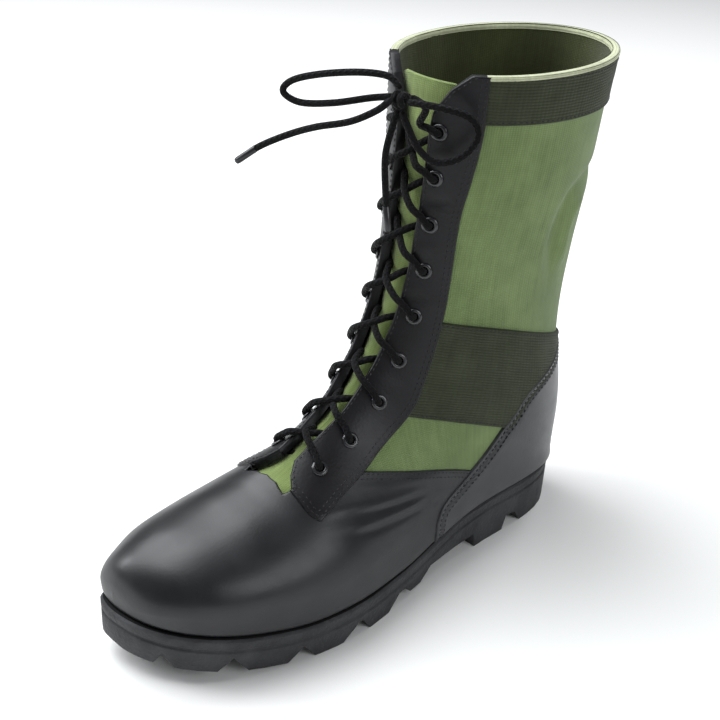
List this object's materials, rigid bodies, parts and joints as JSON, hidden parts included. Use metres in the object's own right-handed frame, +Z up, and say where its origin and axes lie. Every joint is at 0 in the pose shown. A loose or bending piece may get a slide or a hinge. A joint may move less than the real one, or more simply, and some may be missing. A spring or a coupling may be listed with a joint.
{
  "type": "jungle boot",
  "caption": "Left jungle boot: tall lace-up shaft in green canvas, black leather foot and eyestays, webbing ankle band and cuff, lugged rubber sole with a separate heel block, tied laces",
  "frame": {"origin": "on the floor plane, under the centre of the boot's bounding box measured without the free lace parts", "axes": "+X points to the lateral side (the wearer's left), +Y points to the heel and -Y to the toe, +Z points up"},
  "size_m": [0.1118, 0.307, 0.278],
  "materials": {
    "sole_rubber": "moulded, matt",
    "insole_foam": "woven cover over thin foam",
    "upper_shell": "cotton duck shaft with a smooth black leather foot",
    "tongue_canvas": "cotton duck",
    "black_leather": "smooth, polished",
    "olive_webbing": "woven nylon tape",
    "eyelet_black": "black lacquered brass",
    "vent_grey": "grey satin",
    "lace_cord": "round braided nylon"
  },
  "bodies": {
    "root": {"outsole": "sole_rubber", "insole": "insole_foam", "upper": "upper_shell", "tongue": "tongue_canvas", "eyestay_lateral": "black_leather", "eyestay_medial": "black_leather", "heel_counter": "black_leather", "ankle_band_lateral": "olive_webbing", "ankle_band_medial": "olive_webbing", "collar_cuff": "olive_webbing", "eyelet_lateral_1": "eyelet_black", "eyelet_lateral_2": "eyelet_black", "eyelet_lateral_3": "eyelet_black", "eyelet_lateral_4": "eyelet_black", "eyelet_lateral_5": "eyelet_black", "eyelet_lateral_6": "eyelet_black", "eyelet_lateral_7": "eyelet_black", "eyelet_lateral_8": "eyelet_black", "eyelet_lateral_9": "eyelet_black", "eyelet_medial_1": "eyelet_black", "eyelet_medial_2": "eyelet_black", "eyelet_medial_3": "eyelet_black", "eyelet_medial_4": "eyelet_black", "eyelet_medial_5": "eyelet_black", "eyelet_medial_6": "eyelet_black", "eyelet_medial_7": "eyelet_black", "eyelet_medial_8": "eyelet_black", "eyelet_medial_9": "eyelet_black", "drain_vent_1": "vent_grey", "drain_vent_2": "vent_grey", "lace_crossings": "lace_cord", "lace_knot": "lace_cord", "lace_loop_outer": "lace_cord", "lace_loop_inner": "lace_cord", "lace_end_inner": "lace_cord", "lace_end_hanging": "lace_cord"}
  },
  "joints": []
}
